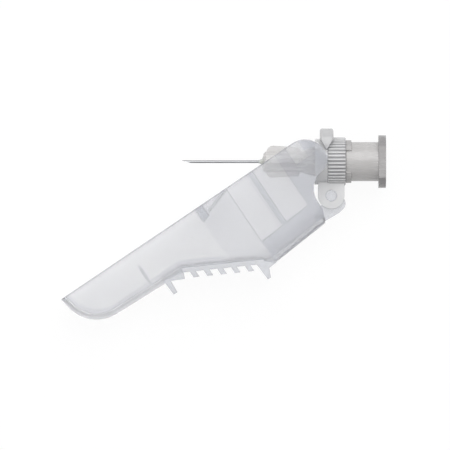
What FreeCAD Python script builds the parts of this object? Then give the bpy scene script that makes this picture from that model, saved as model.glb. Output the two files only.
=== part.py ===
import FreeCAD, Part
import math
import os
import re

import Sketcher

# Safety hypodermic needle, lying on its side. X runs along the needle towards the mouth of the hub,
# Y is across the needle in the plane that the shield swings in, and Z is up.
# The origin is the centre of the hub's mouth. All sizes are in millimetres and degrees.

os.makedirs("parts", exist_ok=True)
doc = FreeCAD.newDocument("safety_needle")

SIZES = [
    # Cannula, 27 gauge
    ("cannula_diameter", 0.41),
    ("cannula_bore", 0.21),
    ("cannula_reach", 12.2),
    ("cannula_seat", 5.6),
    ("bevel_length", 1.5),
    ("lancet_length", 0.75),
    ("lancet_turn", 40.0),
    # Adhesive in the end of the nose
    ("bead_length", 0.75),
    ("bead_swell", 0.2),
    # Hub: mouth, taper and body
    ("mouth_diameter", 4.3),
    ("luer_taper", 0.06),
    ("socket_depth", 8.0),
    ("lug_radius", 3.9),
    ("lug_thickness", 1.08),
    ("lug_half_width", 3.05),
    ("body_radius", 2.9),
    ("passage_radius", 0.75),
    ("passage_cone", 0.6),
    # Hub: lugs behind the collar
    ("stop_radius", 3.18),
    ("stop_length", 0.8),
    ("stop_sweep", 52.0),
    ("stop_turn", 32.0),
    # Hub: journal, snap ridge, shoulder and nose
    ("journal_radius", 2.6),
    ("ridge_height", 0.18),
    ("ridge_length", 0.5),
    ("shoulder_length", 3.3),
    ("nose_radius", 1.5),
    ("nose_length", 5.4),
    ("nose_chamfer", 0.35),
    ("cup_radius", 0.95),
    ("cup_depth", 0.9),
    ("fin_radius", 2.4),
    ("fin_fall", 0.3),
    ("fin_length", 4.8),
    ("fin_setback", 0.4),
    ("fin_thickness", 0.5),
    ("fin_round", 0.9),
    ("fin_count", 4),
    # Collar: ring, sleeve and its fit on the hub
    ("ring_start", 5.95),
    ("ring_width", 2.68),
    ("ring_chamfer", 0.15),
    ("sleeve_length", 1.87),
    ("sleeve_radius", 3.4),
    ("bearing_length", 2.9),
    ("running_gap", 0.05),
    ("end_play", 0.05),
    ("ridge_gap", 0.17),
    ("tooth_count", 40),
    ("tooth_depth", 0.2),
    ("tooth_crest", 0.2),
    ("tooth_root", 0.16),
    # Collar: hinge ears
    ("pin_inset", 2.12),
    ("pin_drop", 5.05),
    ("pin_radius", 0.8),
    ("pin_gap", 0.05),
    ("ear_radius", 1.95),
    ("ear_thickness", 0.75),
    ("hinge_gap", 0.05),
    ("swing_gap", 0.1),
    # Collar: latch wing
    ("wing_height", 4.9),
    ("wing_shoulder", 3.4),
    ("wing_foot", 1.7),
    ("wing_length", 2.0),
    ("wing_overlap", 0.87),
    ("wing_gap", 0.1),
    ("wing_round", 2.6),
    ("wing_edge", 0.35),
    # Shield, measured from the hinge pin when closed: u towards the tip, v towards the open edge
    ("open_angle", 34.0),
    ("shield_length", 41.72),
    ("edge_height", 9.62),
    ("shield_wall", 0.7),
    ("floor_wall", 0.8),
    ("side_gap", 0.15),
    ("front_half_width", 2.3),
    ("rear_corner", 3.5),
    ("funnel_corner", 1.9),
    ("front_corner", 1.5),
    ("back_drop", 2.63),
    ("back_angle", 4.5),
    ("rear_length", 12.3),
    ("funnel_length", 5.5),
    ("pad_length", 12.15),
    ("pad_angle", 27.9),
    ("front_angle", 2.05),
    ("tip_rake", 1.1),
    ("tip_radius", 5.6),
    # Shield: outline of the side walls behind the pin
    ("ear_clearance", 0.2),
    ("rear_low", 0.87),
    ("rear_slant", 23.0),
    ("lobe_reach", 2.84),
    ("lobe_foot", 3.03),
    ("lobe_foot_round", 3.25),
    ("lobe_low", 4.3),
    ("lobe_low_round", 2.1),
    ("lobe_round", 3.3),
    # Shield: thin panels and latch recess inside the side walls
    ("panel_depth", 0.2),
    ("panel_start", 3.6),
    ("rib_start", 7.67),
    ("rib_width", 0.74),
    ("recess_gap", 0.15),
    # Shield: finger pad and its ridges
    ("pad_start", 13.57),
    ("heel_ridge_height", 1.29),
    ("heel_ridge_root", 1.25),
    ("heel_ridge_tip", 0.5),
    ("heel_ridge_lean", 0.15),
    ("pad_tooth_count", 5),
    ("pad_tooth_start", 16.03),
    ("pad_tooth_pitch", 1.8),
    ("pad_tooth_width", 0.75),
    ("pad_tooth_height", 1.0),
    ("step_height", 0.93),
    ("step_lean", 0.37),
    ("step_length", 2.4),
    ("toe_ridge_height", 2.0),
    ("toe_ridge_width", 0.58),
    ("toe_ridge_draft", 0.15),
    # Shield: hinge knuckle
    ("knuckle_width", 1.4),
    ("barrel_radius", 1.3),
    ("heel_height", 2.45),
    ("heel_round", 1.1),
    ("heel_depth", 2.76),
    ("heel_start", 0.45),
    ("neck_height", 1.2),
    ("neck_run", 3.9),
    # Shield: needle catch and guide rib
    ("catch_start", 16.6),
    ("catch_width", 1.2),
    ("catch_height", 1.9),
    ("leaf_start", 12.65),
    ("leaf_end", 16.2),
    ("leaf_drop", 1.2),
    ("leaf_thickness", 0.3),
    ("needle_slot", 0.7),
    ("guide_start", 29.3),
    ("guide_width", 0.25),
    ("guide_height", 2.9),
    ("guide_reach", 0.35),
]

sheet = doc.addObject("Spreadsheet::Sheet", "Sizes")
for row, (alias, number) in enumerate(SIZES, start=1):
    sheet.set(f"A{row}", alias)
    sheet.set(f"B{row}", str(number))
    sheet.setAlias(f"B{row}", alias)
doc.recompute()


def bound(text):
    """An expression with each size's name pointed at the sheet."""
    return re.sub(r"\b([a-z]+(?:_[a-z]+)+)\b", r"Sizes.\1", text)


def value(text):
    """The number that an expression gives."""
    return float(sheet.evalExpression(bound(text)))


# Places along the needle, each an expression of the sizes
PIN_X = "-(ring_start + pin_inset)"
PIN_Y = "-pin_drop"
RING_FRONT = "-(ring_start + ring_width)"
COLLAR_FRONT = "-(ring_start + ring_width + sleeve_length)"
JOURNAL_REAR = "-(ring_start - end_play)"
BEARING_END = "-(ring_start + bearing_length)"
JOURNAL_END = "-(ring_start + bearing_length + end_play)"
SHOULDER_START = "-(ring_start + bearing_length + end_play + ridge_length)"
NOSE_START = f"({SHOULDER_START} - shoulder_length)"
NOSE_END = f"({NOSE_START} - nose_length)"
CANNULA_REAR = f"({NOSE_END} + cannula_seat)"
CANNULA_TIP = f"({NOSE_END} - cannula_reach)"
CANNULA_RADIUS = "(cannula_diameter / 2)"

# The ring's teeth stand on the collar's sleeve
RING_RADIUS = "(sleeve_radius + tooth_depth)"

# Widths of the hinge and of the shield, from the middle plane
EAR_INNER = "(knuckle_width / 2 + hinge_gap)"
EAR_OUTER = "(knuckle_width / 2 + hinge_gap + ear_thickness)"
REAR_INNER = f"({RING_RADIUS} + side_gap)"
REAR_OUTER = f"({RING_RADIUS} + side_gap + shield_wall)"

# Underside of the shield at the stations where its slope changes
PAD_END = "(rear_length + pad_length)"
FUNNEL_END = "(rear_length + funnel_length)"
TIP_CORNER = "(shield_length - tip_rake)"
REAR_FLOOR = "(-(back_drop + rear_length * tan(back_angle)))"
PAD_FLOOR = f"({REAR_FLOOR} + pad_length * tan(pad_angle))"
TIP_FLOOR = f"({PAD_FLOOR} + ({TIP_CORNER} - {PAD_END}) * tan(front_angle))"

# How far a cutting tool runs past the surface it cuts, and the height the trough is solid to before that
PAST = 0.5
TROUGH_TOP = f"(edge_height + {PAST})"


def plane_of(body, role):
    """An origin plane or axis of a body, by its role."""
    return next(item for item in body.Origin.OriginFeatures if item.Role == role)


def make_body(name):
    """An empty body."""
    body = doc.addObject("PartDesign::Body", name)
    body.Label = name
    return body


def make_sketch(body, name, role, offset=None, turn=None):
    """A sketch on a body's origin plane, moved along its normal or turned about its first axis."""
    sketch = body.newObject("Sketcher::SketchObject", name)
    sketch.AttachmentSupport = (plane_of(body, role), "")
    sketch.MapMode = "FlatFace"
    if offset is not None:
        sketch.setExpression("AttachmentOffset.Base.z", bound(offset))
    if turn is not None:
        axis, angle = turn
        sketch.AttachmentOffset = FreeCAD.Placement(
            FreeCAD.Vector(), FreeCAD.Rotation(FreeCAD.Vector(*axis), value(angle)))
    return sketch


def hold(sketch, kind, geometry, position, number, expression):
    """One dimension of a sketch, driven by an expression."""
    if position is None:
        index = sketch.addConstraint(Sketcher.Constraint(kind, geometry, number))
    else:
        index = sketch.addConstraint(Sketcher.Constraint(kind, geometry, position, number))
    sketch.setExpression(f"Constraints[{index}]", bound(expression))


def round_corner(before, corner, after, radius):
    """Tangent points, arc and turning sense of a rounded corner between two straight edges."""
    incoming = (corner - before).normalize()
    outgoing = (after - corner).normalize()
    turning = incoming.x * outgoing.y - incoming.y * outgoing.x
    angle = math.acos(max(-1.0, min(1.0, incoming.dot(outgoing))))
    reach = radius * math.tan(angle / 2)
    start = corner - incoming * reach
    end = corner + outgoing * reach
    side = 1.0 if turning > 0 else -1.0
    centre = start + FreeCAD.Vector(-incoming.y, incoming.x, 0) * (radius * side)
    circle = Part.Circle(centre, FreeCAD.Vector(0, 0, 1), radius)
    first, last = (start, end) if side > 0 else (end, start)
    arc = Part.ArcOfCircle(circle,
                           math.atan2(first.y - centre.y, first.x - centre.x),
                           math.atan2(last.y - centre.y, last.x - centre.x))
    return start, end, arc, side > 0


def add_outline(sketch, corners):
    """A closed outline of straight edges through corners, each (x, y) or (x, y, radius).

    A rounded corner keeps its sharp corner as a construction point that both edges aim at.
    """
    count = len(corners)
    points = [FreeCAD.Vector(value(c[0]), value(c[1]), 0) for c in corners]
    rounds = [None] * count
    for i, corner in enumerate(corners):
        if len(corner) > 2:
            rounds[i] = round_corner(points[i - 1], points[i], points[(i + 1) % count], value(corner[2]))
    leaving = [rounds[i][1] if rounds[i] else points[i] for i in range(count)]
    arriving = [rounds[i][0] if rounds[i] else points[i] for i in range(count)]
    edges = []
    for i in range(count):
        edges.append(sketch.addGeometry(Part.LineSegment(leaving[i], arriving[(i + 1) % count]), False))
    for i, corner in enumerate(corners):
        into, out = edges[i - 1], edges[i]
        if rounds[i] is None:
            sketch.addConstraint(Sketcher.Constraint("Coincident", into, 2, out, 1))
            hold(sketch, "DistanceX", out, 1, points[i].x, corner[0])
            hold(sketch, "DistanceY", out, 1, points[i].y, corner[1])
            continue
        arc = sketch.addGeometry(rounds[i][2], False)
        near, far = (1, 2) if rounds[i][3] else (2, 1)
        sharp = sketch.addGeometry(Part.Point(points[i]), True)
        hold(sketch, "DistanceX", sharp, 1, points[i].x, corner[0])
        hold(sketch, "DistanceY", sharp, 1, points[i].y, corner[1])
        sketch.addConstraint(Sketcher.Constraint("Tangent", into, 2, arc, near))
        sketch.addConstraint(Sketcher.Constraint("Tangent", arc, far, out, 1))
        sketch.addConstraint(Sketcher.Constraint("PointOnObject", sharp, 1, into))
        sketch.addConstraint(Sketcher.Constraint("PointOnObject", sharp, 1, out))
        hold(sketch, "Radius", arc, None, rounds[i][2].Radius, corner[2])


def add_circle(sketch, x, y, radius):
    """A circle at (x, y)."""
    centre = FreeCAD.Vector(value(x), value(y), 0)
    circle = sketch.addGeometry(Part.Circle(centre, FreeCAD.Vector(0, 0, 1), value(radius)), False)
    if (centre.x, centre.y) == (0, 0):
        sketch.addConstraint(Sketcher.Constraint("Coincident", circle, 3, -1, 1))
    else:
        hold(sketch, "DistanceX", circle, 3, centre.x, x)
        hold(sketch, "DistanceY", circle, 3, centre.y, y)
    hold(sketch, "Radius", circle, None, value(radius), radius)


def use(body, feature):
    """Makes a feature the body's result and works it out."""
    body.Tip = feature
    doc.recompute()
    return feature


def pad(body, sketch, length, both_ways=True, reverse=False):
    """Extrudes a sketch, about its own plane or to one side of it."""
    feature = body.newObject("PartDesign::Pad", sketch.Name + "_pad")
    feature.Profile = sketch
    feature.Midplane = both_ways
    feature.Reversed = reverse
    feature.setExpression("Length", bound(length))
    return use(body, feature)


def cut(body, sketch, length, both_ways=True, reverse=False):
    """Cuts a sketch's outline into a body and checks that material went."""
    before = body.Shape.Volume
    feature = body.newObject("PartDesign::Pocket", sketch.Name + "_cut")
    feature.Profile = sketch
    feature.Midplane = both_ways
    feature.Reversed = reverse
    feature.setExpression("Length", bound(length))
    use(body, feature)
    if body.Shape.Volume >= before:
        raise RuntimeError(f"{feature.Name} cuts nothing")
    return feature


def turn_profile(body, sketch, kind="PartDesign::Revolution", sweep=None):
    """Revolves a sketch about the needle's axis, all round or by a sweep about its own plane."""
    feature = body.newObject(kind, sketch.Name + "_turned")
    feature.Profile = sketch
    feature.ReferenceAxis = (plane_of(body, "X_Axis"), [""])
    if sweep is None:
        feature.Angle = 360
    else:
        feature.Midplane = True
        feature.setExpression("Angle", bound(sweep))
    return use(body, feature)


def repeat_round(body, features, count):
    """Repeats features evenly round the needle's axis."""
    pattern = body.newObject("PartDesign::PolarPattern", features[0].Name + "_round")
    pattern.Originals = features
    pattern.Axis = (plane_of(body, "X_Axis"), [""])
    pattern.Angle = 360
    pattern.setExpression("Occurrences", bound(count))
    return use(body, pattern)


def round_edges(body, chosen, radius, name):
    """Rounds the edges of a body's result for which chosen(edge) holds."""
    base = body.Tip
    names = [f"Edge{i}" for i, edge in enumerate(base.Shape.Edges, start=1) if chosen(edge)]
    if not names:
        raise RuntimeError(f"{name} finds no edge")
    feature = body.newObject("PartDesign::Fillet", name)
    feature.Base = (base, names)
    feature.setExpression("Radius", bound(radius))
    return use(body, feature)


def part_boolean(kind, name, first, others):
    """A boolean of whole shapes: Cut, Common or MultiFuse."""
    result = doc.addObject(f"Part::{kind}", name)
    if kind == "MultiFuse":
        result.Shapes = [first] + others
    else:
        result.Base, result.Tool = first, others[0]
    result.Refine = True
    result.Label = name
    doc.recompute()
    return result


# Cannula

def make_cannula():
    """A steel tube with a lancet point: one long bevel and two short side bevels."""
    body = make_body("cannula")
    ring = make_sketch(body, "cannula_ring", "YZ_Plane", offset=CANNULA_TIP)
    add_circle(ring, "0", "0", CANNULA_RADIUS)
    add_circle(ring, "0", "0", "cannula_bore / 2")
    pad(body, ring, "cannula_reach + cannula_seat", both_ways=False)

    def wedge(length):
        """A triangle whose long side crosses the tube, from its upper side at the tip to its lower side."""
        rise = f"({PAST} * cannula_diameter / {length})"
        return [
            (f"{CANNULA_TIP} - {PAST}", f"{CANNULA_RADIUS} + {rise}"),
            (f"{CANNULA_TIP} - {PAST}", f"-({CANNULA_RADIUS} + {rise})"),
            (f"{CANNULA_TIP} + {length} + {PAST}", f"-({CANNULA_RADIUS} + {rise})"),
        ]

    # Long bevel: the point is on the upper side and the heel on the lower side
    bevel = make_sketch(body, "bevel", "XY_Plane")
    add_outline(bevel, wedge("bevel_length"))
    cut(body, bevel, "4 * cannula_diameter")

    # Side bevels: a shorter wedge, turned about the cannula's axis
    for side, sign in (("left", 1), ("right", -1)):
        sharp = make_sketch(body, f"lancet_{side}", "XY_Plane", turn=((1, 0, 0), f"{sign} * lancet_turn"))
        add_outline(sharp, wedge("lancet_length"))
        cut(body, sharp, "4 * cannula_diameter")
    return body


# Adhesive bead

def make_adhesive_bead():
    """Cured adhesive that fills the cup of the nose and creeps a little way along the cannula."""
    body = make_body("adhesive_bead")
    profile = make_sketch(body, "bead_profile", "XY_Plane")
    add_outline(profile, [
        (f"{NOSE_END} + cup_depth", CANNULA_RADIUS),
        (NOSE_END, "cup_radius"),
        (f"{NOSE_END} - bead_swell", f"{CANNULA_RADIUS} + bead_swell"),
        (f"{NOSE_END} - bead_length", CANNULA_RADIUS),
    ])
    turn_profile(body, profile)
    return body


# Hub

def make_needle_hub():
    """The grey moulding that carries the cannula and takes the syringe."""
    body = make_body("needle_hub")
    profile = make_sketch(body, "hub_profile", "XY_Plane")
    add_outline(profile, [
        ("0", "passage_radius"),
        ("0", "body_radius"),
        (JOURNAL_REAR, "body_radius"),
        (JOURNAL_REAR, "journal_radius"),
        (JOURNAL_END, "journal_radius"),
        (JOURNAL_END, "journal_radius + ridge_height"),
        (f"{JOURNAL_END} - ridge_length / 2", "journal_radius + ridge_height"),
        (SHOULDER_START, "journal_radius"),
        (NOSE_START, "nose_radius", "shoulder_length / 3"),
        (f"{NOSE_END} + nose_chamfer", "nose_radius"),
        (NOSE_END, "nose_radius - nose_chamfer"),
        (NOSE_END, "cup_radius"),
        (f"{NOSE_END} + cup_depth", CANNULA_RADIUS),
        (CANNULA_REAR, CANNULA_RADIUS),
        (f"{CANNULA_REAR} + passage_cone", "passage_radius"),
    ])
    turn_profile(body, profile)

    # Two luer lock lugs at the mouth: a disc with both sides cut flat
    disc = make_sketch(body, "lug_disc", "YZ_Plane")
    add_circle(disc, "0", "0", "lug_radius")
    pad(body, disc, "lug_thickness", both_ways=False, reverse=True)
    for side, sign in (("top", 1), ("bottom", -1)):
        flat = make_sketch(body, f"lug_flat_{side}", "YZ_Plane")
        add_outline(flat, [
            (f"-(lug_radius + {PAST})", f"{sign} * lug_half_width"),
            (f"lug_radius + {PAST}", f"{sign} * lug_half_width"),
            (f"lug_radius + {PAST}", f"{sign} * (lug_radius + {PAST})"),
            (f"-(lug_radius + {PAST})", f"{sign} * (lug_radius + {PAST})"),
        ])
        cut(body, flat, "lug_thickness", both_ways=False)

    # Female taper for the syringe
    socket = make_sketch(body, "luer_socket", "XY_Plane")
    add_outline(socket, [
        ("0", "0"),
        ("0", "mouth_diameter / 2"),
        ("-socket_depth", "(mouth_diameter - luer_taper * socket_depth) / 2"),
        ("-socket_depth", "0"),
    ])
    turn_profile(body, socket, "PartDesign::Groove")

    # Four lugs just behind the collar, in two pairs
    lugs = []
    for side, sign in (("front", 1), ("back", -1)):
        lug = make_sketch(body, f"stop_{side}", "XY_Plane", turn=((1, 0, 0), f"{sign} * stop_turn"))
        add_outline(lug, [
            (JOURNAL_REAR, "journal_radius + ridge_height / 2"),
            (JOURNAL_REAR, "stop_radius"),
            (f"{JOURNAL_REAR} + stop_length", "stop_radius"),
            (f"{JOURNAL_REAR} + stop_length", "journal_radius + ridge_height / 2"),
        ])
        lugs.append(turn_profile(body, lug, sweep="stop_sweep"))
    repeat_round(body, lugs, "2")

    # Fins along the nose
    fin = make_sketch(body, "fin", "XY_Plane")
    front = f"{NOSE_END} + fin_setback"
    root = "(nose_radius + cup_radius) / 2"
    add_outline(fin, [
        (front, root),
        (f"{front} + fin_setback", "fin_radius", "fin_round"),
        (f"{front} + fin_length", "fin_radius - fin_fall"),
        (f"{front} + fin_length + fin_setback", root),
    ])
    repeat_round(body, [pad(body, fin, "fin_thickness")], "fin_count")
    return body


# Collar

def make_latch_wing():
    """A rounded saddle over the top of the ring, pointed at its two feet, that latches in the shield."""
    body = make_body("latch_wing")
    half = f"({REAR_INNER} - wing_gap)"
    rear = f"({RING_FRONT} + wing_overlap)"
    saddle = make_sketch(body, "wing_saddle", "YZ_Plane", offset=rear)
    add_outline(saddle, [
        ("wing_foot", f"-{half}"),
        ("wing_height", f"-{half}", "wing_round"),
        ("wing_height", half, "wing_round"),
        ("wing_foot", half),
    ])
    pad(body, saddle, "wing_length", both_ways=False, reverse=True)
    crown = value("wing_height - wing_round")
    round_edges(body, lambda edge: edge.BoundBox.XLength < 1e-6 and edge.CenterOfMass.y > crown,
                "wing_edge", "wing_rim")

    # Feet: both sides taper to a point, seen square to the hinge pin
    for name, edge, sign in (("wing_taper_front", f"{rear} - wing_length", -1), ("wing_taper_rear", rear, 1)):
        taper = make_sketch(body, name, "XY_Plane")
        add_outline(taper, [
            (f"{rear} - wing_length / 2", "wing_foot"),
            (edge, "wing_shoulder"),
            (f"{edge} + {sign} * wing_length / 2", "wing_shoulder"),
            (f"{edge} + {sign} * wing_length / 2", f"wing_foot - {PAST}"),
            (f"{rear} - wing_length / 2", f"wing_foot - {PAST}"),
        ])
        cut(body, taper, f"4 * {half}")
    hollow = make_sketch(body, "wing_hollow", "YZ_Plane", offset=rear)
    add_circle(hollow, "0", "0", "(journal_radius + sleeve_radius) / 2")
    cut(body, hollow, "wing_length", both_ways=False)
    return body


def make_hinge_collar():
    """The clear moulding that turns on the hub and carries the hinge and the latch wing."""
    body = make_body("collar_ring")
    profile = make_sketch(body, "collar_profile", "XY_Plane")
    add_outline(profile, [
        ("-ring_start", "journal_radius"),
        ("-ring_start", f"{RING_RADIUS} - ring_chamfer"),
        ("-(ring_start + ring_chamfer)", RING_RADIUS),
        (f"{RING_FRONT} + ring_chamfer", RING_RADIUS),
        (RING_FRONT, f"{RING_RADIUS} - ring_chamfer"),
        (RING_FRONT, "sleeve_radius"),
        (COLLAR_FRONT, "sleeve_radius"),
        (COLLAR_FRONT, "journal_radius"),
    ])
    turn_profile(body, profile)

    # Axial grooves all round the ring. The flanks of the cut run on half a tooth's depth past the crests
    groove = make_sketch(body, "tooth_gap", "YZ_Plane", offset="-ring_start")
    gap = f"(2 * pi * {RING_RADIUS} / tooth_count - tooth_crest)"
    mouth = f"((3 * {gap} - tooth_root) / 4)"
    add_outline(groove, [
        ("sleeve_radius", "-tooth_root / 2"),
        (f"{RING_RADIUS} + tooth_depth / 2", f"-{mouth}"),
        (f"{RING_RADIUS} + tooth_depth / 2", mouth),
        ("sleeve_radius", "tooth_root / 2"),
    ])
    first = cut(body, groove, "ring_width", both_ways=False, reverse=False)
    repeat_round(body, [first], "tooth_count")

    # Hinge ears below: a block down to the pin with a round end
    block = make_sketch(body, "ear_block", "XY_Plane")
    add_outline(block, [
        (f"{PIN_X} - ear_radius", "-journal_radius"),
        (f"{PIN_X} + ear_radius", "-journal_radius"),
        (f"{PIN_X} + ear_radius", PIN_Y),
        (f"{PIN_X} - ear_radius", PIN_Y),
    ])
    pad(body, block, f"2 * {EAR_OUTER}")
    end = make_sketch(body, "ear_end", "XY_Plane")
    add_circle(end, PIN_X, PIN_Y, "ear_radius")
    pad(body, end, f"2 * {EAR_OUTER}")

    # Slot between the ears for the shield's knuckle
    slot = make_sketch(body, "knuckle_slot", "XY_Plane")
    roof = f"({PIN_Y} + barrel_radius + swing_gap)"
    add_outline(slot, [
        (f"{PIN_X} - 2 * ear_radius", roof),
        (f"{PIN_X} + 2 * ear_radius", roof),
        (f"{PIN_X} + 2 * ear_radius", f"{PIN_Y} - 2 * ear_radius"),
        (f"{PIN_X} - 2 * ear_radius", f"{PIN_Y} - 2 * ear_radius"),
    ])
    cut(body, slot, f"2 * {EAR_INNER}")
    hole = make_sketch(body, "pin_hole", "XY_Plane")
    add_circle(hole, PIN_X, PIN_Y, "pin_radius + pin_gap")
    cut(body, hole, f"4 * {EAR_OUTER}")

    # Bore: a bearing on the hub's journal, and a wider bore in front that clears the snap ridge
    bore = make_sketch(body, "collar_bore", "XY_Plane")
    add_outline(bore, [
        (f"-ring_start + {PAST}", "0"),
        (f"-ring_start + {PAST}", "journal_radius + running_gap"),
        (BEARING_END, "journal_radius + running_gap"),
        (BEARING_END, "journal_radius + ridge_height + ridge_gap"),
        (f"{COLLAR_FRONT} - {PAST}", "journal_radius + ridge_height + ridge_gap"),
        (f"{COLLAR_FRONT} - {PAST}", "0"),
    ])
    turn_profile(body, bore, "PartDesign::Groove")
    return part_boolean("MultiFuse", "hinge_collar", body, [make_latch_wing()])


# Shield, drawn closed with its hinge pin at the origin and its tip towards minus x

def side(u, v, *radius):
    """A corner in the shield's side view, u towards the tip and v towards the open edge."""
    return (f"-({u})", v) + radius


def make_stretch(name, corners, half, corner, taper=None):
    """A side view extruded across the shield, with its lower edges rounded.

    The taper, if any, is how wide it is at two places, and both sides are cut straight between them.
    """
    body = make_body(name)
    outline = make_sketch(body, f"{name}_outline", "XY_Plane")
    add_outline(outline, corners)
    pad(body, outline, f"2 * {half}")
    if taper:
        (start, wide), (end, narrow) = taper
        for hand, sign in (("left", 1), ("right", -1)):
            waste = make_sketch(body, f"{name}_{hand}", "XZ_Plane")
            add_outline(waste, [
                side(start, f"{sign} * {wide}"),
                side(end, f"{sign} * {narrow}"),
                side(f"{end} + {PAST}", f"{sign} * {narrow}"),
                side(f"{end} + {PAST}", f"{sign} * ({half} + {PAST})"),
                side(start, f"{sign} * ({half} + {PAST})"),
            ])
            cut(body, waste, "6 * edge_height")
    height = value(TROUGH_TOP)
    round_edges(body, lambda edge: edge.BoundBox.XLength > 1e-4 and edge.CenterOfMass.y < height - 1e-4,
                corner, f"{name}_round")
    return body


def make_trough(name, inset, floor, ends):
    """A round-bottomed trough, solid to above its open edge, that narrows from the hub to the tip.

    The rear stretch and the funnel are each what lies inside both, and the front is joined on.
    """
    rear = f"(-(lobe_reach + {PAST} + {ends}))"
    wide = f"({REAR_OUTER} - {inset})"
    narrow = f"(front_half_width - {inset})"
    joint = f"({FUNNEL_END} + {PAST} / 2)"

    def line(u, from_u, from_v, angle):
        """A corner at u on the floor that climbs at an angle from a known point."""
        return side(u, f"{from_v} + {floor} + ({u} - {from_u}) * tan({angle})")

    stretch = make_stretch(f"{name}_rear", [
        line(rear, "0", "(-back_drop)", "-back_angle"),
        line(joint, "0", "(-back_drop)", "-back_angle"),
        side(joint, TROUGH_TOP),
        side(rear, TROUGH_TOP),
    ], wide, f"rear_corner - {inset}")
    closing = f"(({wide} - {narrow}) / funnel_length)"
    funnel = make_stretch(f"{name}_funnel", [
        line(rear, "rear_length", REAR_FLOOR, "pad_angle"),
        line(joint, "rear_length", REAR_FLOOR, "pad_angle"),
        side(joint, TROUGH_TOP),
        side(rear, TROUGH_TOP),
    ], f"({wide} + {closing} * (rear_length - {rear}))", f"funnel_corner - {inset}", [
        (rear, f"({wide} + {closing} * (rear_length - {rear}))"),
        (joint, f"({narrow} - {closing} * {PAST} / 2)"),
    ])
    tip_u = f"({TIP_CORNER} - {inset})"
    lean = f"({PAST} * tip_rake / (edge_height - {TIP_FLOOR}))"
    front = make_stretch(f"{name}_front", [
        line("(rear_length + funnel_length / 2)", "rear_length", REAR_FLOOR, "pad_angle"),
        side(PAD_END, f"{PAD_FLOOR} + {floor}"),
        line(tip_u, PAD_END, PAD_FLOOR, "front_angle") + (f"tip_radius - {inset}",),
        side(f"shield_length - {inset} + {lean}", TROUGH_TOP),
        side("(rear_length + funnel_length / 2)", TROUGH_TOP),
    ], narrow, f"front_corner - {inset}")
    back = part_boolean("Common", f"{name}_back", stretch, [funnel])
    return part_boolean("MultiFuse", name, back, [front])


def make_trim():
    """What is cut away above the open edge and behind the side walls."""
    body = make_body("shield_trim")
    sketch = make_sketch(body, "trim_outline", "XY_Plane")
    rear_edge = "(ear_radius + ear_clearance)"
    far = "3 * edge_height"
    add_outline(sketch, [
        side(f"{rear_edge} + {far} * tan(rear_slant)", f"-(rear_low + {far})"),
        side(rear_edge, "-rear_low"),
        side(rear_edge, "lobe_foot", "lobe_foot_round"),
        side("-lobe_reach", "lobe_low", "lobe_low_round"),
        side("-lobe_reach", "edge_height", "lobe_round"),
        side("shield_length + edge_height", "edge_height"),
        side("shield_length + edge_height", far),
        side(f"-{far}", far),
        side(f"-{far}", f"-(rear_low + {far})"),
    ])
    pad(body, sketch, f"4 * {REAR_OUTER}")
    return body


def make_panels():
    """Shallow pockets inside both side walls: two thin panels and the recess for the latch wing."""
    body = make_body("shield_panels")
    wing_middle = f"({RING_FRONT} + wing_overlap - wing_length / 2 - ({PIN_X}))"
    floor_line = "(rear_corner - back_drop + shield_wall / 4)"
    pockets = [
        ("panel_start", "rib_start", None),
        ("rib_start + rib_width", "rear_length", None),
        (f"-{wing_middle} - wing_length / 2 - recess_gap", f"-{wing_middle} + wing_length / 2 + recess_gap",
         "pin_drop + wing_foot - recess_gap"),
    ]
    for number, (start, end, low) in enumerate(pockets, start=1):
        sketch = make_sketch(body, f"panel_{number}", "XY_Plane")
        first = low or f"{floor_line} - ({start}) * tan(back_angle)"
        last = low or f"{floor_line} - ({end}) * tan(back_angle)"
        add_outline(sketch, [
            side(start, f"edge_height + {PAST}"),
            side(start, first),
            side(end, last),
            side(end, f"edge_height + {PAST}"),
        ])
        pad(body, sketch, f"2 * ({REAR_INNER} + panel_depth)")
    return body


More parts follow.
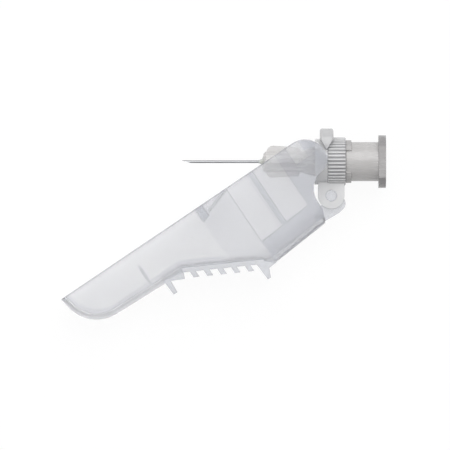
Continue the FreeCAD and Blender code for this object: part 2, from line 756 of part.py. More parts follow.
def make_finger_pad():
    """The sloping pad across the underside, with a ridge at each end, a step and a row of teeth."""
    def under(u):
        return f"({REAR_FLOOR} + (({u}) - rear_length) * tan(pad_angle))"

    body = make_body("finger_pad")
    back_line = "(-(back_drop + pad_start * tan(back_angle)))"
    ridge_end = "(pad_start + heel_ridge_root)"
    tip_start = f"({ridge_end} - heel_ridge_tip - heel_ridge_lean)"
    heel = make_sketch(body, "heel_ridge", "XY_Plane")
    add_outline(heel, [
        side("rear_length", REAR_FLOOR),
        side("pad_start", back_line),
        side(tip_start, f"{back_line} - heel_ridge_height"),
        side(f"{tip_start} + heel_ridge_tip", f"{back_line} - heel_ridge_height"),
        side(ridge_end, under(ridge_end)),
        side(ridge_end, f"{under(ridge_end)} + floor_wall"),
        side(f"rear_length + heel_ridge_root", f"{under('rear_length + heel_ridge_root')} + floor_wall / 2"),
    ])
    pad(body, heel, f"2 * {REAR_OUTER}")
    plate = make_sketch(body, "pad_plate", "XY_Plane")
    add_outline(plate, [
        side("pad_start", under("pad_start")),
        side(PAD_END, PAD_FLOOR),
        side(PAD_END, f"{PAD_FLOOR} + floor_wall"),
        side("pad_start", f"{under('pad_start')} + floor_wall"),
    ])
    pad(body, plate, f"2 * {REAR_OUTER}")
    slope_edges = [i for i, edge in enumerate(plate.Shape.Edges, start=1)
                   if abs(edge.Length - value(f"({PAD_END} - pad_start) / cos(pad_angle)")) < 1e-4]

    # Teeth, each standing square to the open edge
    tooth = make_sketch(body, "pad_tooth", "XY_Plane")
    start = "(pad_tooth_start - pad_tooth_width / 2)"
    end = "(pad_tooth_start + pad_tooth_width / 2)"
    add_outline(tooth, [
        side(start, f"{under(start)} + floor_wall / 2"),
        side(start, f"{under(start)} - pad_tooth_height"),
        side(end, f"{under(end)} - pad_tooth_height"),
        side(end, f"{under(end)} + floor_wall / 2"),
    ])
    first = pad(body, tooth, f"2 * {REAR_OUTER}")
    row = body.newObject("PartDesign::LinearPattern", "pad_teeth")
    row.Originals = [first]
    row.Direction = (plate, [f"Edge{slope_edges[0]}"])
    row.setExpression("Length", bound("(pad_tooth_count - 1) * pad_tooth_pitch / cos(pad_angle)"))
    row.setExpression("Occurrences", bound("pad_tooth_count"))
    use(body, row)
    if body.Shape.BoundBox.XMin < -value("shield_length") or body.Shape.Volume <= first.Shape.Volume:
        raise RuntimeError("the teeth run the wrong way")

    # A step past the teeth, then the tall ridge that ends the pad
    front_line = f"({PAD_FLOOR} + step_length * tan(front_angle))"
    step = make_sketch(body, "pad_step", "XY_Plane")
    add_outline(step, [
        side(f"{PAD_END} - floor_wall", f"{under(PAD_END + ' - floor_wall')} + floor_wall / 2"),
        side(PAD_END, PAD_FLOOR),
        side(f"{PAD_END} + step_lean", f"{PAD_FLOOR} - step_height"),
        side(f"{PAD_END} + step_length", front_line),
        side(f"{PAD_END} + step_length", f"{front_line} + floor_wall / 2"),
    ])
    pad(body, step, f"2 * {REAR_OUTER}")
    toe = make_sketch(body, "toe_ridge", "XY_Plane")
    add_outline(toe, [
        side(f"{PAD_END} + step_length - toe_ridge_draft", f"{front_line} + floor_wall / 2"),
        side(f"{PAD_END} + step_length", f"{front_line} - toe_ridge_height"),
        side(f"{PAD_END} + step_length + toe_ridge_width", f"{front_line} - toe_ridge_height"),
        side(f"{PAD_END} + step_length + toe_ridge_width + toe_ridge_draft", f"{front_line} + floor_wall / 2"),
    ])
    pad(body, toe, f"2 * {REAR_OUTER}")
    return body


def make_knuckle():
    """The hinge knuckle between the collar's ears, its heel that stops the swing, and the trunnions."""
    body = make_body("hinge_knuckle")
    barrel = make_sketch(body, "barrel", "XY_Plane")
    add_circle(barrel, "0", "0", "barrel_radius")
    pad(body, barrel, "knuckle_width")
    neck = make_sketch(body, "neck", "XY_Plane")
    underside = "(-(back_drop + neck_run * tan(back_angle)) + floor_wall / 2)"
    add_outline(neck, [
        side("-barrel_radius", "0"),
        side("-barrel_radius", "-heel_height", "heel_round"),
        side("heel_start", "-heel_depth"),
        side("neck_run", underside),
        side("neck_run", f"{underside} + neck_height"),
        side("barrel_radius", "0"),
    ])
    pad(body, neck, "knuckle_width")
    trunnion = make_sketch(body, "trunnion", "XY_Plane")
    add_circle(trunnion, "0", "0", "pin_radius")
    pad(body, trunnion, f"2 * {EAR_OUTER}")
    return body


def make_linings(trough):
    """The needle catch and the guide ribs: webs across the trough, slotted where the needle passes."""
    catch = make_body("needle_catch")
    low = "(edge_height - catch_height)"
    block = make_sketch(catch, "catch_block", "XY_Plane")
    add_outline(block, [
        side("catch_start", f"edge_height + {PAST}"),
        side("catch_start", low),
        side("catch_start + catch_width", f"{low} - catch_width / 3"),
        side("catch_start + catch_width", f"edge_height + {PAST}"),
    ])
    pad(catch, block, f"2 * {REAR_OUTER}")
    leaf = make_sketch(catch, "catch_leaf", "XY_Plane")
    add_outline(leaf, [
        side("leaf_start", "edge_height"),
        side("leaf_end", "edge_height - leaf_drop"),
        side("leaf_end", "edge_height - leaf_drop - leaf_thickness"),
        side("leaf_start", "edge_height - leaf_thickness"),
    ])
    pad(catch, leaf, f"2 * {REAR_OUTER}")
    gap = make_sketch(catch, "catch_slot", "XZ_Plane")
    add_outline(gap, [
        side(f"leaf_start - {PAST}", "-needle_slot / 2"),
        side(f"catch_start + catch_width + {PAST}", "-needle_slot / 2"),
        side(f"catch_start + catch_width + {PAST}", "needle_slot / 2"),
        side(f"leaf_start - {PAST}", "needle_slot / 2"),
    ])
    cut(catch, gap, "4 * edge_height")

    guide = make_body("guide_ribs")
    floor = f"({PAD_FLOOR} + (guide_start - {PAD_END}) * tan(front_angle))"
    rib = make_sketch(guide, "guide_rib", "XY_Plane")
    add_outline(rib, [
        side("guide_start", floor),
        side("guide_start", f"{floor} + floor_wall + guide_height"),
        side("guide_start + guide_width", f"{floor} + floor_wall + guide_height"),
        side("guide_start + guide_width", floor),
    ])
    pad(guide, rib, f"2 * {REAR_OUTER}")
    middle = make_sketch(guide, "guide_slot", "XZ_Plane")
    inner = "(front_half_width - shield_wall - guide_reach)"
    add_outline(middle, [
        side(f"guide_start - {PAST}", f"-{inner}"),
        side(f"guide_start + guide_width + {PAST}", f"-{inner}"),
        side(f"guide_start + guide_width + {PAST}", inner),
        side(f"guide_start - {PAST}", inner),
    ])
    cut(guide, middle, "4 * edge_height")
    webs = part_boolean("MultiFuse", "shield_webs", catch, [guide])
    return part_boolean("Common", "shield_linings", webs, [trough])


def make_shield():
    """The white moulding: a trough over the needle, with its pad, hinge and catch in one piece."""
    outside = make_trough("shield_outside", "0", "0", "0")
    inside = make_trough("shield_inside", "shield_wall", "floor_wall", f"{PAST}")
    linings = make_linings(outside)
    shell = part_boolean("Cut", "shield_shell", outside, [inside])
    lined = part_boolean("MultiFuse", "shield_lined", shell, [linings])
    trimmed = part_boolean("Cut", "shield_trimmed", lined, [make_trim()])
    panelled = part_boolean("Cut", "shield_panelled", trimmed, [make_panels()])
    shield = part_boolean("MultiFuse", "shield", panelled, [make_finger_pad(), make_knuckle()])
    shield.setExpression("Placement.Base.x", bound(PIN_X))
    shield.setExpression("Placement.Base.y", bound(PIN_Y))
    shield.Placement.Rotation = FreeCAD.Rotation(FreeCAD.Vector(0, 0, 1), value("open_angle"))
    doc.recompute()
    return shield


pieces = [make_cannula(), make_adhesive_bead(), make_needle_hub(), make_hinge_collar(), make_shield()]
doc.recompute()

for item in doc.Objects:
    if "Invalid" in item.State or "Error" in item.State:
        raise RuntimeError(f"{item.Name} failed: {item.State}")
for piece in pieces:
    if piece.Shape.isNull() or not piece.Shape.isValid():
        raise RuntimeError(f"{piece.Label} has no valid shape")
    if len(piece.Shape.Solids) != 1:
        raise RuntimeError(f"{piece.Label} has {len(piece.Shape.Solids)} solids")
for piece in pieces:
    piece.Shape.exportStep(f"parts/{piece.Label}.step")
    print(piece.Label, round(piece.Shape.Volume, 3), piece.Shape.BoundBox)
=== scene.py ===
"""Safety hypodermic needle on a pale studio floor, seen from straight above.

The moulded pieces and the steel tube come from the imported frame. This script gives them their
finishes, lays the floor, and sets the lamps and the camera.
"""

import bmesh
import bpy
import numpy as np
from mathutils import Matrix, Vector


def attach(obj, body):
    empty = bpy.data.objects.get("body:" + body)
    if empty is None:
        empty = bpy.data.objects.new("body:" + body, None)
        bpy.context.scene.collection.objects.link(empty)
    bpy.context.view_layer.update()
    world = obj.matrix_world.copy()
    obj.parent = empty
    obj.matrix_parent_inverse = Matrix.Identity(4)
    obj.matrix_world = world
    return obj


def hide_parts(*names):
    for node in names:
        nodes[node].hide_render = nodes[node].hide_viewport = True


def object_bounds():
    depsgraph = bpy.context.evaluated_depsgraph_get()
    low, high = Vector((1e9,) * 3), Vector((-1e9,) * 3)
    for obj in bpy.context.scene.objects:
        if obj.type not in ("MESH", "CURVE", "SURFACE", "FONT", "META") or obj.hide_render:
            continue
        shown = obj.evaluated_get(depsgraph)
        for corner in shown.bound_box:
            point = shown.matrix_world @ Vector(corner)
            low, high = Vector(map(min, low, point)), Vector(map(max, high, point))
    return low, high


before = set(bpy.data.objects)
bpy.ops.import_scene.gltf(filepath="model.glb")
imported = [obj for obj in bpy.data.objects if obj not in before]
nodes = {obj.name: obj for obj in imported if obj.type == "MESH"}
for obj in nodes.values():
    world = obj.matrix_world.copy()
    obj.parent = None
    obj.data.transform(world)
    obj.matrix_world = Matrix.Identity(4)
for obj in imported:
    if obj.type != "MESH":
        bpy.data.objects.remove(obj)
cad_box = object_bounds()

MM = 0.001

# The picture: 450 points a side, each 0.148 mm of the object, and the hub's mouth at one of its points
PICTURE = 450
POINT = 0.148 * MM
MOUTH_COLUMN, MOUTH_ROW = 385.7, 161.6
VIEW_X = (PICTURE / 2 - MOUTH_COLUMN) * POINT
VIEW_Y = (MOUTH_ROW - PICTURE / 2) * POINT
CAMERA_HEIGHT = 1.2
SENSOR = 36.0

# The floor is a hair below the side the needle lies on, so that the two faces are never in one plane
FLOOR_Z = cad_box[0][2] - 0.02 * MM
FLOOR_HALF = 0.6
FLOOR_COLOUR = (0.8, 0.8, 0.8, 1.0)
WHITE = (1.0, 1.0, 1.0, 1.0)
WHITE_SHARE, WHITE_STRENGTH = 0.9, 1.04
WORLD_LEVEL = 0.39

# Noise and corners: the part of each that counts, how strong it shows, and how fine its streaks are
NOISE_SPAN, CORNER_SPAN = (0.3, 0.7), (0.97, 0.78)
MOTTLE_SHARE, GRAIN_STRENGTH = 0.2, 0.5
FLOW_STRETCH, LINE_STRETCH = 0.04, 0.02

# The shield, from its hinge pin, in millimetres: u runs to the tip and v up to the open edge
PIN = (-8.07, -5.05)
OPEN_ANGLE = np.radians(34.0)
THIN_PANELS = [(3.6, 7.67, 0.7, 12.0), (8.41, 12.3, 0.3, 12.0), (-0.46, 1.84, 6.6, 12.0)]
NEEDLE_CATCH = (16.6, 17.8, 7.5, 12.0)
NEEDLE_GUIDE = (29.2, 29.6, 4.7, 7.4)
REAR_END, FUNNEL_END = 12.3, 17.8
OPEN_EDGE = 9.62
LIP_DEPTH = 0.15
LOBE_END, LOBE_FOOT = -1.0, 3.25
TIP_CENTRE, TIP_INNER = (35.3, 9.6), 4.97
PAD_LINE, PAD_SLOPE = (24.26, 4.78), 0.527
PAD_FRONT = 28.0
KEEL_START, KEEL_DEPTH = FUNNEL_END + 0.1, 0.85

# How much of the thick tone, a painted shade, each of the shield's places takes, and how much of the edge
# tone, a painted shade too, its edges take
FUNNEL_SHARE, PANEL_SHARE, GUIDE_SHARE, KEEL_SHARE = 0.35, 0.75, 0.7, 0.47
EDGE_SHARE, LOBE_SHARE = 0.55, 0.22

# The collar and the hub, from the hub's mouth and from the needle's axis, in millimetres
RING_FRONT, RING_BACK = -8.63, -5.95
GROOVE_FLOOR, TOOTH_TOP = 3.4, 3.6
# The wing above the ring takes WING_SHARE of the collar's dark tone, as painted shade
WING_FOOT, WING_SHARE = TOOTH_TOP + 0.07, 0.5
NOSE_START, JOURNAL_FRONT = -12.7, -9.4
HUB_BODY, LUG_SIDE = 2.92, 2.1
SNAP_LUG_END, MOUTH_LUG_START = -4.0, -2.0
# Painted shade on the hub: the share of its dark tone its body takes, and the shares its lug faces and snap
# lugs take
BODY_SHARE, RIM_SHARE, SNAP_LUG_SHARE = 0.29, 0.62, 0.6


# Values in a material

def add_node(tree, kind, **values):
    """A node with some of its properties or inputs set."""
    node = tree.nodes.new(kind)
    for key, value in values.items():
        if hasattr(node, key):
            setattr(node, key, value)
        else:
            node.inputs[key.replace("_", " ")].default_value = value
    return node


def spread(tree, value, span, to):
    """A value moved from one span to another, and kept inside it."""
    node = add_node(tree, "ShaderNodeMapRange")
    for name, number in zip(("From Min", "From Max", "To Min", "To Max"), span + to):
        node.inputs[name].default_value = number
    tree.links.new(value, node.inputs["Value"])
    return node.outputs["Result"]


def rise(tree, value, place, soft, top=1.0):
    """Nothing below a place and top above it, with a soft step between."""
    return spread(tree, value, (place - soft, place + soft), (0.0, top))


def fall(tree, value, place, soft, low=0.0):
    """One below a place and low above it, with a soft step between."""
    return spread(tree, value, (place - soft, place + soft), (1.0, low))


def combine(tree, operation, first, second, kept=True):
    """Two values, or a value and a number, put together, and kept between 0 and 1 or not."""
    node = add_node(tree, "ShaderNodeMath", operation=operation, use_clamp=kept)
    for socket, part in zip(node.inputs, (first, second)):
        if isinstance(part, float):
            socket.default_value = part
        else:
            tree.links.new(part, socket)
    return node.outputs["Value"]


def both(tree, first, second):
    """Where two masks meet: their product."""
    return combine(tree, "MULTIPLY", first, second)


def either(tree, first, second):
    """Where at least one of two masks is: the larger of them."""
    return combine(tree, "MAXIMUM", first, second)


def between(tree, value, low, high, soft):
    """One between two places and nothing outside them, with soft steps."""
    return both(tree, rise(tree, value, low, soft), fall(tree, value, high, soft))


def patch(tree, u, v, low_u, high_u, low_v, high_v):
    """A soft sided oblong."""
    soft = 0.12
    return both(tree, between(tree, u, low_u, high_u, soft), between(tree, v, low_v, high_v, soft))


def length(tree, first, second):
    """The root of the sum of two squares."""
    pair = add_node(tree, "ShaderNodeCombineXYZ")
    tree.links.new(first, pair.inputs["X"])
    tree.links.new(second, pair.inputs["Y"])
    node = add_node(tree, "ShaderNodeVectorMath", operation="LENGTH")
    tree.links.new(pair.outputs["Vector"], node.inputs[0])
    return node.outputs["Value"]


def place_from(tree, centre=(0.0, 0.0), angle=0.0):
    """x, y and z of a point in millimetres from a centre, turned back about Z by an angle."""
    x, y = centre
    cos, sin = np.cos(angle), np.sin(angle)
    place = add_node(tree, "ShaderNodeTexCoord")
    back = add_node(tree, "ShaderNodeMapping")
    back.inputs["Scale"].default_value = (1.0 / MM, 1.0 / MM, 1.0 / MM)
    back.inputs["Rotation"].default_value = (0.0, 0.0, -angle)
    back.inputs["Location"].default_value = (-(x * cos + y * sin), x * sin - y * cos, 0.0)
    tree.links.new(place.outputs["Object"], back.inputs["Vector"])
    split = add_node(tree, "ShaderNodeSeparateXYZ")
    tree.links.new(back.outputs["Vector"], split.inputs["Vector"])
    return split.outputs["X"], split.outputs["Y"], split.outputs["Z"]


def stretched_noise(tree, stretch, **values):
    """A noise node whose pattern is drawn out along X into streaks."""
    place = add_node(tree, "ShaderNodeTexCoord")
    drawn = add_node(tree, "ShaderNodeMapping")
    drawn.inputs["Scale"].default_value = (stretch, 1.0, 1.0)
    tree.links.new(place.outputs["Object"], drawn.inputs["Vector"])
    noise = add_node(tree, "ShaderNodeTexNoise", **values)
    tree.links.new(drawn.outputs["Vector"], noise.inputs["Vector"])
    return noise


# Plastics

def plastic_skin_group():
    """Shared effect: the skin of a moulded plastic piece.

    Cloud is a slow mottle in the melt, 0 to 1. Grain is the fine texture that the mould leaves.
    Flow is the streaks along X in which the melt ran. Rounded is the normal with its corners
    eased by Edge Width, and Edge is how far that turns it, 0 on a flat and 1 on a sharp corner.
    """
    group = bpy.data.node_groups.new("plastic_skin", "ShaderNodeTree")
    face = group.interface
    for name, value in (("Cloud Scale", 150.0), ("Grain Scale", 6000.0), ("Flow Scale", 900.0),
                        ("Edge Width", 0.1 * MM)):
        socket = face.new_socket(name, in_out="INPUT", socket_type="NodeSocketFloat")
        socket.default_value = value
    for name in ("Cloud", "Grain", "Flow", "Edge"):
        face.new_socket(name, in_out="OUTPUT", socket_type="NodeSocketFloat")
    face.new_socket("Rounded", in_out="OUTPUT", socket_type="NodeSocketVector")
    enter = group.nodes.new("NodeGroupInput")
    leave = group.nodes.new("NodeGroupOutput")
    place = group.nodes.new("ShaderNodeTexCoord")
    link = group.links.new

    cloud = add_node(group, "ShaderNodeTexNoise", Detail=3.0, Roughness=0.55)
    link(place.outputs["Object"], cloud.inputs["Vector"])
    link(enter.outputs["Cloud Scale"], cloud.inputs["Scale"])
    link(spread(group, cloud.outputs["Fac"], NOISE_SPAN, (0.0, 1.0)), leave.inputs["Cloud"])

    grain = add_node(group, "ShaderNodeTexNoise", Detail=2.0, Roughness=0.6)
    link(place.outputs["Object"], grain.inputs["Vector"])
    link(enter.outputs["Grain Scale"], grain.inputs["Scale"])
    link(grain.outputs["Fac"], leave.inputs["Grain"])

    flow = stretched_noise(group, FLOW_STRETCH, Detail=2.0, Roughness=0.5)
    link(enter.outputs["Flow Scale"], flow.inputs["Scale"])
    link(flow.outputs["Fac"], leave.inputs["Flow"])

    rounded = add_node(group, "ShaderNodeBevel", samples=8)
    link(enter.outputs["Edge Width"], rounded.inputs["Radius"])
    flat = group.nodes.new("ShaderNodeNewGeometry")
    turn = add_node(group, "ShaderNodeVectorMath", operation="DOT_PRODUCT")
    link(rounded.outputs["Normal"], turn.inputs[0])
    link(flat.outputs["Normal"], turn.inputs[1])
    link(spread(group, turn.outputs["Value"], CORNER_SPAN, (0.0, 1.0)), leave.inputs["Edge"])
    link(rounded.outputs["Normal"], leave.inputs["Rounded"])
    return group


PLASTIC_SKIN = plastic_skin_group()


def new_material(name):
    """An empty material, with its tree and its Principled shader."""
    material = bpy.data.materials.new(name)
    material.use_nodes = True
    tree = material.node_tree
    return material, tree, tree.nodes["Principled BSDF"]


def roughen(tree, shader, height, strength, distance, normal=None):
    """A bump, on top of a normal where one is given."""
    bump = add_node(tree, "ShaderNodeBump", Strength=strength, Distance=distance)
    tree.links.new(height, bump.inputs["Height"])
    if normal:
        tree.links.new(normal, bump.inputs["Normal"])
    tree.links.new(bump.outputs["Normal"], shader.inputs["Normal"])


def mixed(tree, share, first, second):
    """A colour between two, each a colour or another mix."""
    mix = add_node(tree, "ShaderNodeMix", data_type="RGBA")
    for name, colour in (("A", first), ("B", second)):
        if isinstance(colour, tuple):
            mix.inputs[name].default_value = (*colour, 1.0)
        else:
            tree.links.new(colour, mix.inputs[name])
    tree.links.new(share, mix.inputs["Factor"])
    return mix.outputs["Result"]


def plastic(name, thin, thick, edge_shade, roughness, clearness, index, haze, edge, grain_depth, scales, shade_zones=None,
            lip_shade=None):
    """A moulded plastic, between two colours by its mottle, with a fine grain and softened edges.

    Along its corners it goes over to its edge tone, a painted shade. clearness is how much light goes
    through rather than being scattered at the surface. haze is the colour and the density, for each metre,
    with which a thick stretch of it darkens what is behind. The zone mask adds painted shade where its wall
    is thick or shows walls and parts behind it, and the lip mask adds painted shade along a lip that is seen
    edge-on.
    """
    material, tree, shader = new_material(name)
    skin = add_node(tree, "ShaderNodeGroup")
    skin.node_tree = PLASTIC_SKIN
    for key, value in scales.items():
        skin.inputs[key].default_value = value
    skin.inputs["Edge Width"].default_value = edge

    # The dark tone follows a random mottle, and where a zone mask is given it mostly follows that mask,
    # which is painted shade
    depth = skin.outputs["Cloud"]
    if shade_zones:
        mottle = both(tree, depth, MOTTLE_SHARE)
        depth = combine(tree, "ADD", both(tree, shade_zones(tree), 1.0 - MOTTLE_SHARE), mottle)
    # Corners, and lips where a lip mask is given, go over to the edge tone, a painted shade
    corner = skin.outputs["Edge"]
    if lip_shade:
        corner = either(tree, corner, lip_shade(tree))
    colour = mixed(tree, corner, mixed(tree, depth, thin, thick), edge_shade)
    tree.links.new(colour, shader.inputs["Base Color"])
    gloss = spread(tree, skin.outputs["Flow"], NOISE_SPAN, roughness)
    tree.links.new(gloss, shader.inputs["Roughness"])
    roughen(tree, shader, skin.outputs["Grain"], GRAIN_STRENGTH, grain_depth, skin.outputs["Rounded"])

    shader.inputs["Transmission Weight"].default_value = clearness
    shader.inputs["IOR"].default_value = index
    fog_colour, fog_density = haze
    fog = add_node(tree, "ShaderNodeVolumeAbsorption", Color=(*fog_colour, 1.0), Density=fog_density)
    tree.links.new(fog.outputs["Volume"], tree.nodes["Material Output"].inputs["Volume"])
    return material


def shield_place(tree):
    """u and v of a point: its place turned back about the hinge pin by the angle the shield is open."""
    x, y = place_from(tree, PIN, OPEN_ANGLE)[:2]
    return combine(tree, "MULTIPLY", x, -1.0, kept=False), y


def shield_lip_shade(tree):
    """Painted shade on the open edge all along the shield, where it is seen edge-on, and less of it on the
    thick lobe beside the collar.
    """
    u, v = shield_place(tree)
    soft = 0.6
    edge = rise(tree, v, OPEN_EDGE - LIP_DEPTH, soft=0.05, top=EDGE_SHARE)
    beside = spread(tree, u, (LOBE_END + soft, LOBE_END - soft), (0.0, LOBE_SHARE))
    return either(tree, edge, both(tree, beside, rise(tree, v, LOBE_FOOT, soft=1.25)))


def shield_keel_shade(tree, u, v):
    """Painted shade where the floor of the front stretch is seen through the wall, rounded up into it.

    How far a point is into it is the smaller of two numbers: its distance from the nearest point of a
    straight line along the open edge, less the radius inside the tip, and its depth below a line that
    runs along the pad.
    """
    centre_u, centre_v = TIP_CENTRE
    line_u, line_v = PAD_LINE
    ahead = combine(tree, "SUBTRACT", u, centre_u, kept=False)
    ahead = combine(tree, "MAXIMUM", ahead, 0.0, kept=False)
    above = combine(tree, "SUBTRACT", v, centre_v, kept=False)
    round_tip = combine(tree, "SUBTRACT", length(tree, ahead, above), TIP_INNER, kept=False)
    line = combine(tree, "MULTIPLY", u, PAD_SLOPE, kept=False)
    line = combine(tree, "ADD", line, line_v - line_u * PAD_SLOPE, kept=False)
    below = combine(tree, "SUBTRACT", line, v, kept=False)
    into = combine(tree, "MINIMUM", round_tip, below, kept=False)
    deep = fall(tree, round_tip, KEEL_DEPTH, soft=0.35, low=0.2)
    thins = either(tree, deep, fall(tree, u, PAD_FRONT, soft=0.5))
    band = both(tree, rise(tree, into, 0.0, soft=0.07, top=KEEL_SHARE), thins)
    return both(tree, band, rise(tree, u, KEEL_START, soft=0.2))


def shield_shade(tree):
    """Painted shade where the shield is thick or shows walls behind it: behind the funnel outside its three
    panels, the catch, guide and keel.
    """
    u, v = shield_place(tree)
    rear = fall(tree, u, REAR_END, soft=0.2, low=FUNNEL_SHARE)
    for panel in THIN_PANELS:
        rear = combine(tree, "SUBTRACT", rear, both(tree, patch(tree, u, v, *panel), PANEL_SHARE))
    rear = combine(tree, "SUBTRACT", rear, rise(tree, u, FUNNEL_END, soft=0.2, top=FUNNEL_SHARE))
    guide = both(tree, patch(tree, u, v, *NEEDLE_GUIDE), GUIDE_SHARE)
    inside = either(tree, guide, shield_keel_shade(tree, u, v))
    inside = either(tree, patch(tree, u, v, *NEEDLE_CATCH), inside)
    return either(tree, rear, inside)


def collar_shade(tree):
    """Painted shade in the grooves between the ring's teeth, and half as much on the thick wing above it."""
    x, y, z = place_from(tree)
    radius = length(tree, y, z)
    middle = (GROOVE_FLOOR + TOOTH_TOP) / 2
    floor = rise(tree, radius, GROOVE_FLOOR - 0.01, soft=0.01)
    groove = both(tree, floor, fall(tree, radius, middle, soft=0.07))
    ring = between(tree, x, RING_FRONT, RING_BACK, soft=0.02)
    above = rise(tree, y, 0.5, soft=0.5)
    wing = both(tree, rise(tree, radius, WING_FOOT, soft=0.05, top=WING_SHARE), above)
    return either(tree, both(tree, groove, ring), wing)


def hub_shade(tree):
    """Painted shade: the body of the hub is painted darker than its nose, and its solid lugs darkest, most
    at their top and bottom ends where they are seen edge-on.

    The lugs stand out from the body above and below, those at the mouth further than the snap lugs.
    """
    x, y, z = place_from(tree)
    body = spread(tree, x, (NOSE_START, JOURNAL_FRONT), (0.0, BODY_SHARE))
    soft = 0.075
    proud = rise(tree, length(tree, y, z), HUB_BODY + soft, soft)
    aside = combine(tree, "MAXIMUM", y, combine(tree, "MULTIPLY", y, -1.0, kept=False), kept=False)
    lug = spread(tree, aside, (LUG_SIDE, LUG_SIDE + 0.4), (RIM_SHARE, 1.0))
    mouth = spread(tree, x, (SNAP_LUG_END, MOUTH_LUG_START), (SNAP_LUG_SHARE, 1.0))
    return either(tree, body, both(tree, both(tree, proud, lug), mouth))


# Each plastic's edge tone, and its thick tone where a zone mask is given, is painted shade; otherwise the
# thick tone is a random mottle
frosted_white = plastic(
    "frosted_white", thin=(0.98, 0.98, 0.987), thick=(0.835, 0.842, 0.87), edge_shade=(0.52, 0.54, 0.585),
    roughness=(0.14, 0.2), clearness=0.75, index=1.35, haze=((0.7, 0.73, 0.79), 60.0),
    edge=0.14 * MM, grain_depth=0.006 * MM, shade_zones=shield_shade, lip_shade=shield_lip_shade,
    scales={"Cloud Scale": 140.0, "Grain Scale": 5000.0, "Flow Scale": 700.0})
clear_plastic = plastic(
    "clear_plastic", thin=(0.995, 0.995, 1.0), thick=(0.4, 0.4, 0.415), edge_shade=(0.58, 0.58, 0.61),
    roughness=(0.08, 0.14), clearness=0.22, index=1.46, haze=((0.75, 0.76, 0.79), 50.0),
    edge=0.1 * MM, grain_depth=0.002 * MM, shade_zones=collar_shade,
    scales={"Cloud Scale": 220.0, "Grain Scale": 7000.0, "Flow Scale": 1200.0})
grey_plastic = plastic(
    "grey_plastic", thin=(0.93, 0.915, 0.905), thick=(0.38, 0.37, 0.375), edge_shade=(0.29, 0.28, 0.285),
    roughness=(0.24, 0.3), clearness=0.28, index=1.45, haze=((0.6, 0.585, 0.59), 230.0),
    edge=0.08 * MM, grain_depth=0.004 * MM, shade_zones=hub_shade,
    scales={"Cloud Scale": 180.0, "Grain Scale": 6000.0, "Flow Scale": 1600.0})
cured_adhesive = plastic(
    "cured_adhesive", thin=(0.97, 0.97, 0.89), thick=(0.87, 0.94, 0.97), edge_shade=(0.8, 0.83, 0.84),
    roughness=(0.05, 0.12), clearness=0.35, index=1.5, haze=((0.7, 0.72, 0.6), 100.0),
    edge=0.05 * MM, grain_depth=0.002 * MM,
    scales={"Cloud Scale": 900.0, "Grain Scale": 4000.0, "Flow Scale": 900.0})


# Steel

def steel():
    """Drawn and polished stainless tube, slightly rough all over, with fine lines along the tube."""
    material, tree, shader = new_material("drawn_steel")
    lines = stretched_noise(tree, LINE_STRETCH, Scale=30000.0, Detail=2.0).outputs["Fac"]
    tree.links.new(spread(tree, lines, (0.0, 1.0), (0.26, 0.38)), shader.inputs["Roughness"])
    tint = mixed(tree, lines, (0.34, 0.345, 0.36), (0.43, 0.435, 0.445))
    tree.links.new(tint, shader.inputs["Base Color"])
    roughen(tree, shader, lines, 0.15, 0.004 * MM)
    shader.inputs["Metallic"].default_value = 1.0
    return material


# Pieces

CREASE = np.radians(22.0)
MERGE_DISTANCE = 0.0005 * MM


def moulded(node, body, material):
    """A piece as the frame has it, its facets joined and shaded smooth up to a crease angle."""
    mesh = nodes[node].data.copy()
    mesh.name = f"{node}_moulding"
    shell = bmesh.new()
    shell.from_mesh(mesh)
    bmesh.ops.remove_doubles(shell, verts=shell.verts, dist=MERGE_DISTANCE)
    for edge in shell.edges:
        edge.smooth = len(edge.link_faces) == 2 and edge.calc_face_angle() < CREASE
    for face in shell.faces:
        face.smooth = True
    shell.to_mesh(mesh)
    shell.free()
    mesh.materials.clear()
    mesh.materials.append(material)
    piece = bpy.data.objects.new(f"{node}_moulding", mesh)
    bpy.context.scene.collection.objects.link(piece)
    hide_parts(node)
    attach(piece, body)


moulded("shield", "shield", frosted_white)
moulded("hinge_collar", "collar", clear_plastic)
moulded("needle_hub", "needle", grey_plastic)
moulded("adhesive_bead", "needle", cured_adhesive)
moulded("cannula", "needle", steel())


# Floor

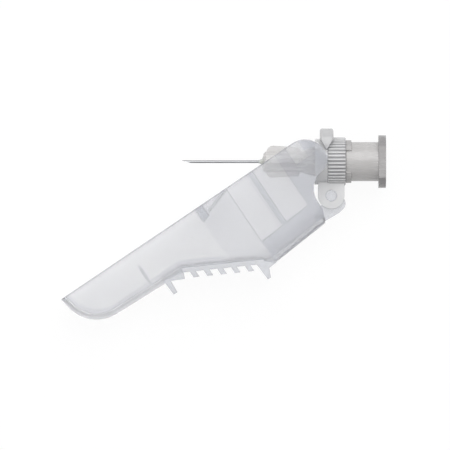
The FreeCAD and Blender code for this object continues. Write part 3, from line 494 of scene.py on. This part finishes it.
def make_floor():
    """A square sheet under the object, mostly white by itself so that it keeps only a faint shadow.

    It is plain white to the eye, in gloss and through clear plastic, and lit paper to all other light.
    """
    corners = np.array([(-1, -1), (1, -1), (1, 1), (-1, 1)]) * FLOOR_HALF
    places = np.column_stack([corners + (VIEW_X, VIEW_Y), np.full(4, FLOOR_Z)])
    mesh = bpy.data.meshes.new("floor")
    mesh.from_pydata(places.tolist(), [], [(0, 1, 2, 3)])
    floor = bpy.data.objects.new("floor", mesh)
    bpy.context.scene.collection.objects.link(floor)

    material = bpy.data.materials.new("floor_white")
    material.use_nodes = True
    tree = material.node_tree
    tree.nodes.clear()
    paper = add_node(tree, "ShaderNodeBsdfDiffuse", Color=FLOOR_COLOUR)
    white = add_node(tree, "ShaderNodeEmission", Color=WHITE, Strength=WHITE_STRENGTH)
    path = add_node(tree, "ShaderNodeLightPath")
    seen = either(tree, path.outputs["Is Camera Ray"], path.outputs["Is Glossy Ray"])
    seen = either(tree, seen, path.outputs["Is Transmission Ray"])
    mix = add_node(tree, "ShaderNodeMixShader")
    tree.links.new(both(tree, seen, WHITE_SHARE), mix.inputs["Fac"])
    tree.links.new(paper.outputs["BSDF"], mix.inputs[1])
    tree.links.new(white.outputs["Emission"], mix.inputs[2])
    out = add_node(tree, "ShaderNodeOutputMaterial")
    tree.links.new(mix.outputs["Shader"], out.inputs["Surface"])
    mesh.materials.append(material)


make_floor()


# Light

def make_lamp(name, place, size, power):
    """A square soft lamp that faces the middle of the view."""
    data = bpy.data.lights.new(name, "AREA")
    data.shape = "SQUARE"
    data.size = size
    data.energy = power
    lamp = bpy.data.objects.new(name, data)
    bpy.context.scene.collection.objects.link(lamp)
    lamp.location = place
    aim = Vector((VIEW_X, VIEW_Y, 0.0)) - Vector(place)
    lamp.rotation_euler = aim.to_track_quat("-Z", "Y").to_euler()


def make_world():
    """An even white room, dimmer than it looks to the eye and through clear plastic."""
    world = bpy.data.worlds.new("studio")
    bpy.context.scene.world = world
    world.use_nodes = True
    tree = world.node_tree
    tree.nodes.clear()
    path = add_node(tree, "ShaderNodeLightPath")
    seen = either(tree, path.outputs["Is Camera Ray"], path.outputs["Is Transmission Ray"])
    sky = add_node(tree, "ShaderNodeBackground", Color=WHITE)
    tree.links.new(spread(tree, seen, (0.0, 1.0), (WORLD_LEVEL, 1.0)), sky.inputs["Strength"])
    out = add_node(tree, "ShaderNodeOutputWorld")
    tree.links.new(sky.outputs["Background"], out.inputs["Surface"])


make_lamp("key_lamp", (VIEW_X + 0.11, VIEW_Y + 0.63, 0.9), size=1.0, power=8.2)
make_lamp("fill_lamp", (VIEW_X - 0.4, VIEW_Y - 0.1, 0.5), size=0.5, power=0.4)
make_world()


# Camera

camera_data = bpy.data.cameras.new("camera")
camera_data.sensor_width = SENSOR
camera_data.lens = SENSOR * CAMERA_HEIGHT / (PICTURE * POINT)
camera_data.clip_start = 0.01
camera_data.clip_end = 10.0
camera = bpy.data.objects.new("camera", camera_data)
camera.location = (VIEW_X, VIEW_Y, CAMERA_HEIGHT)
bpy.context.scene.collection.objects.link(camera)
bpy.context.scene.camera = camera
bpy.context.scene.view_settings.view_transform = "Standard"
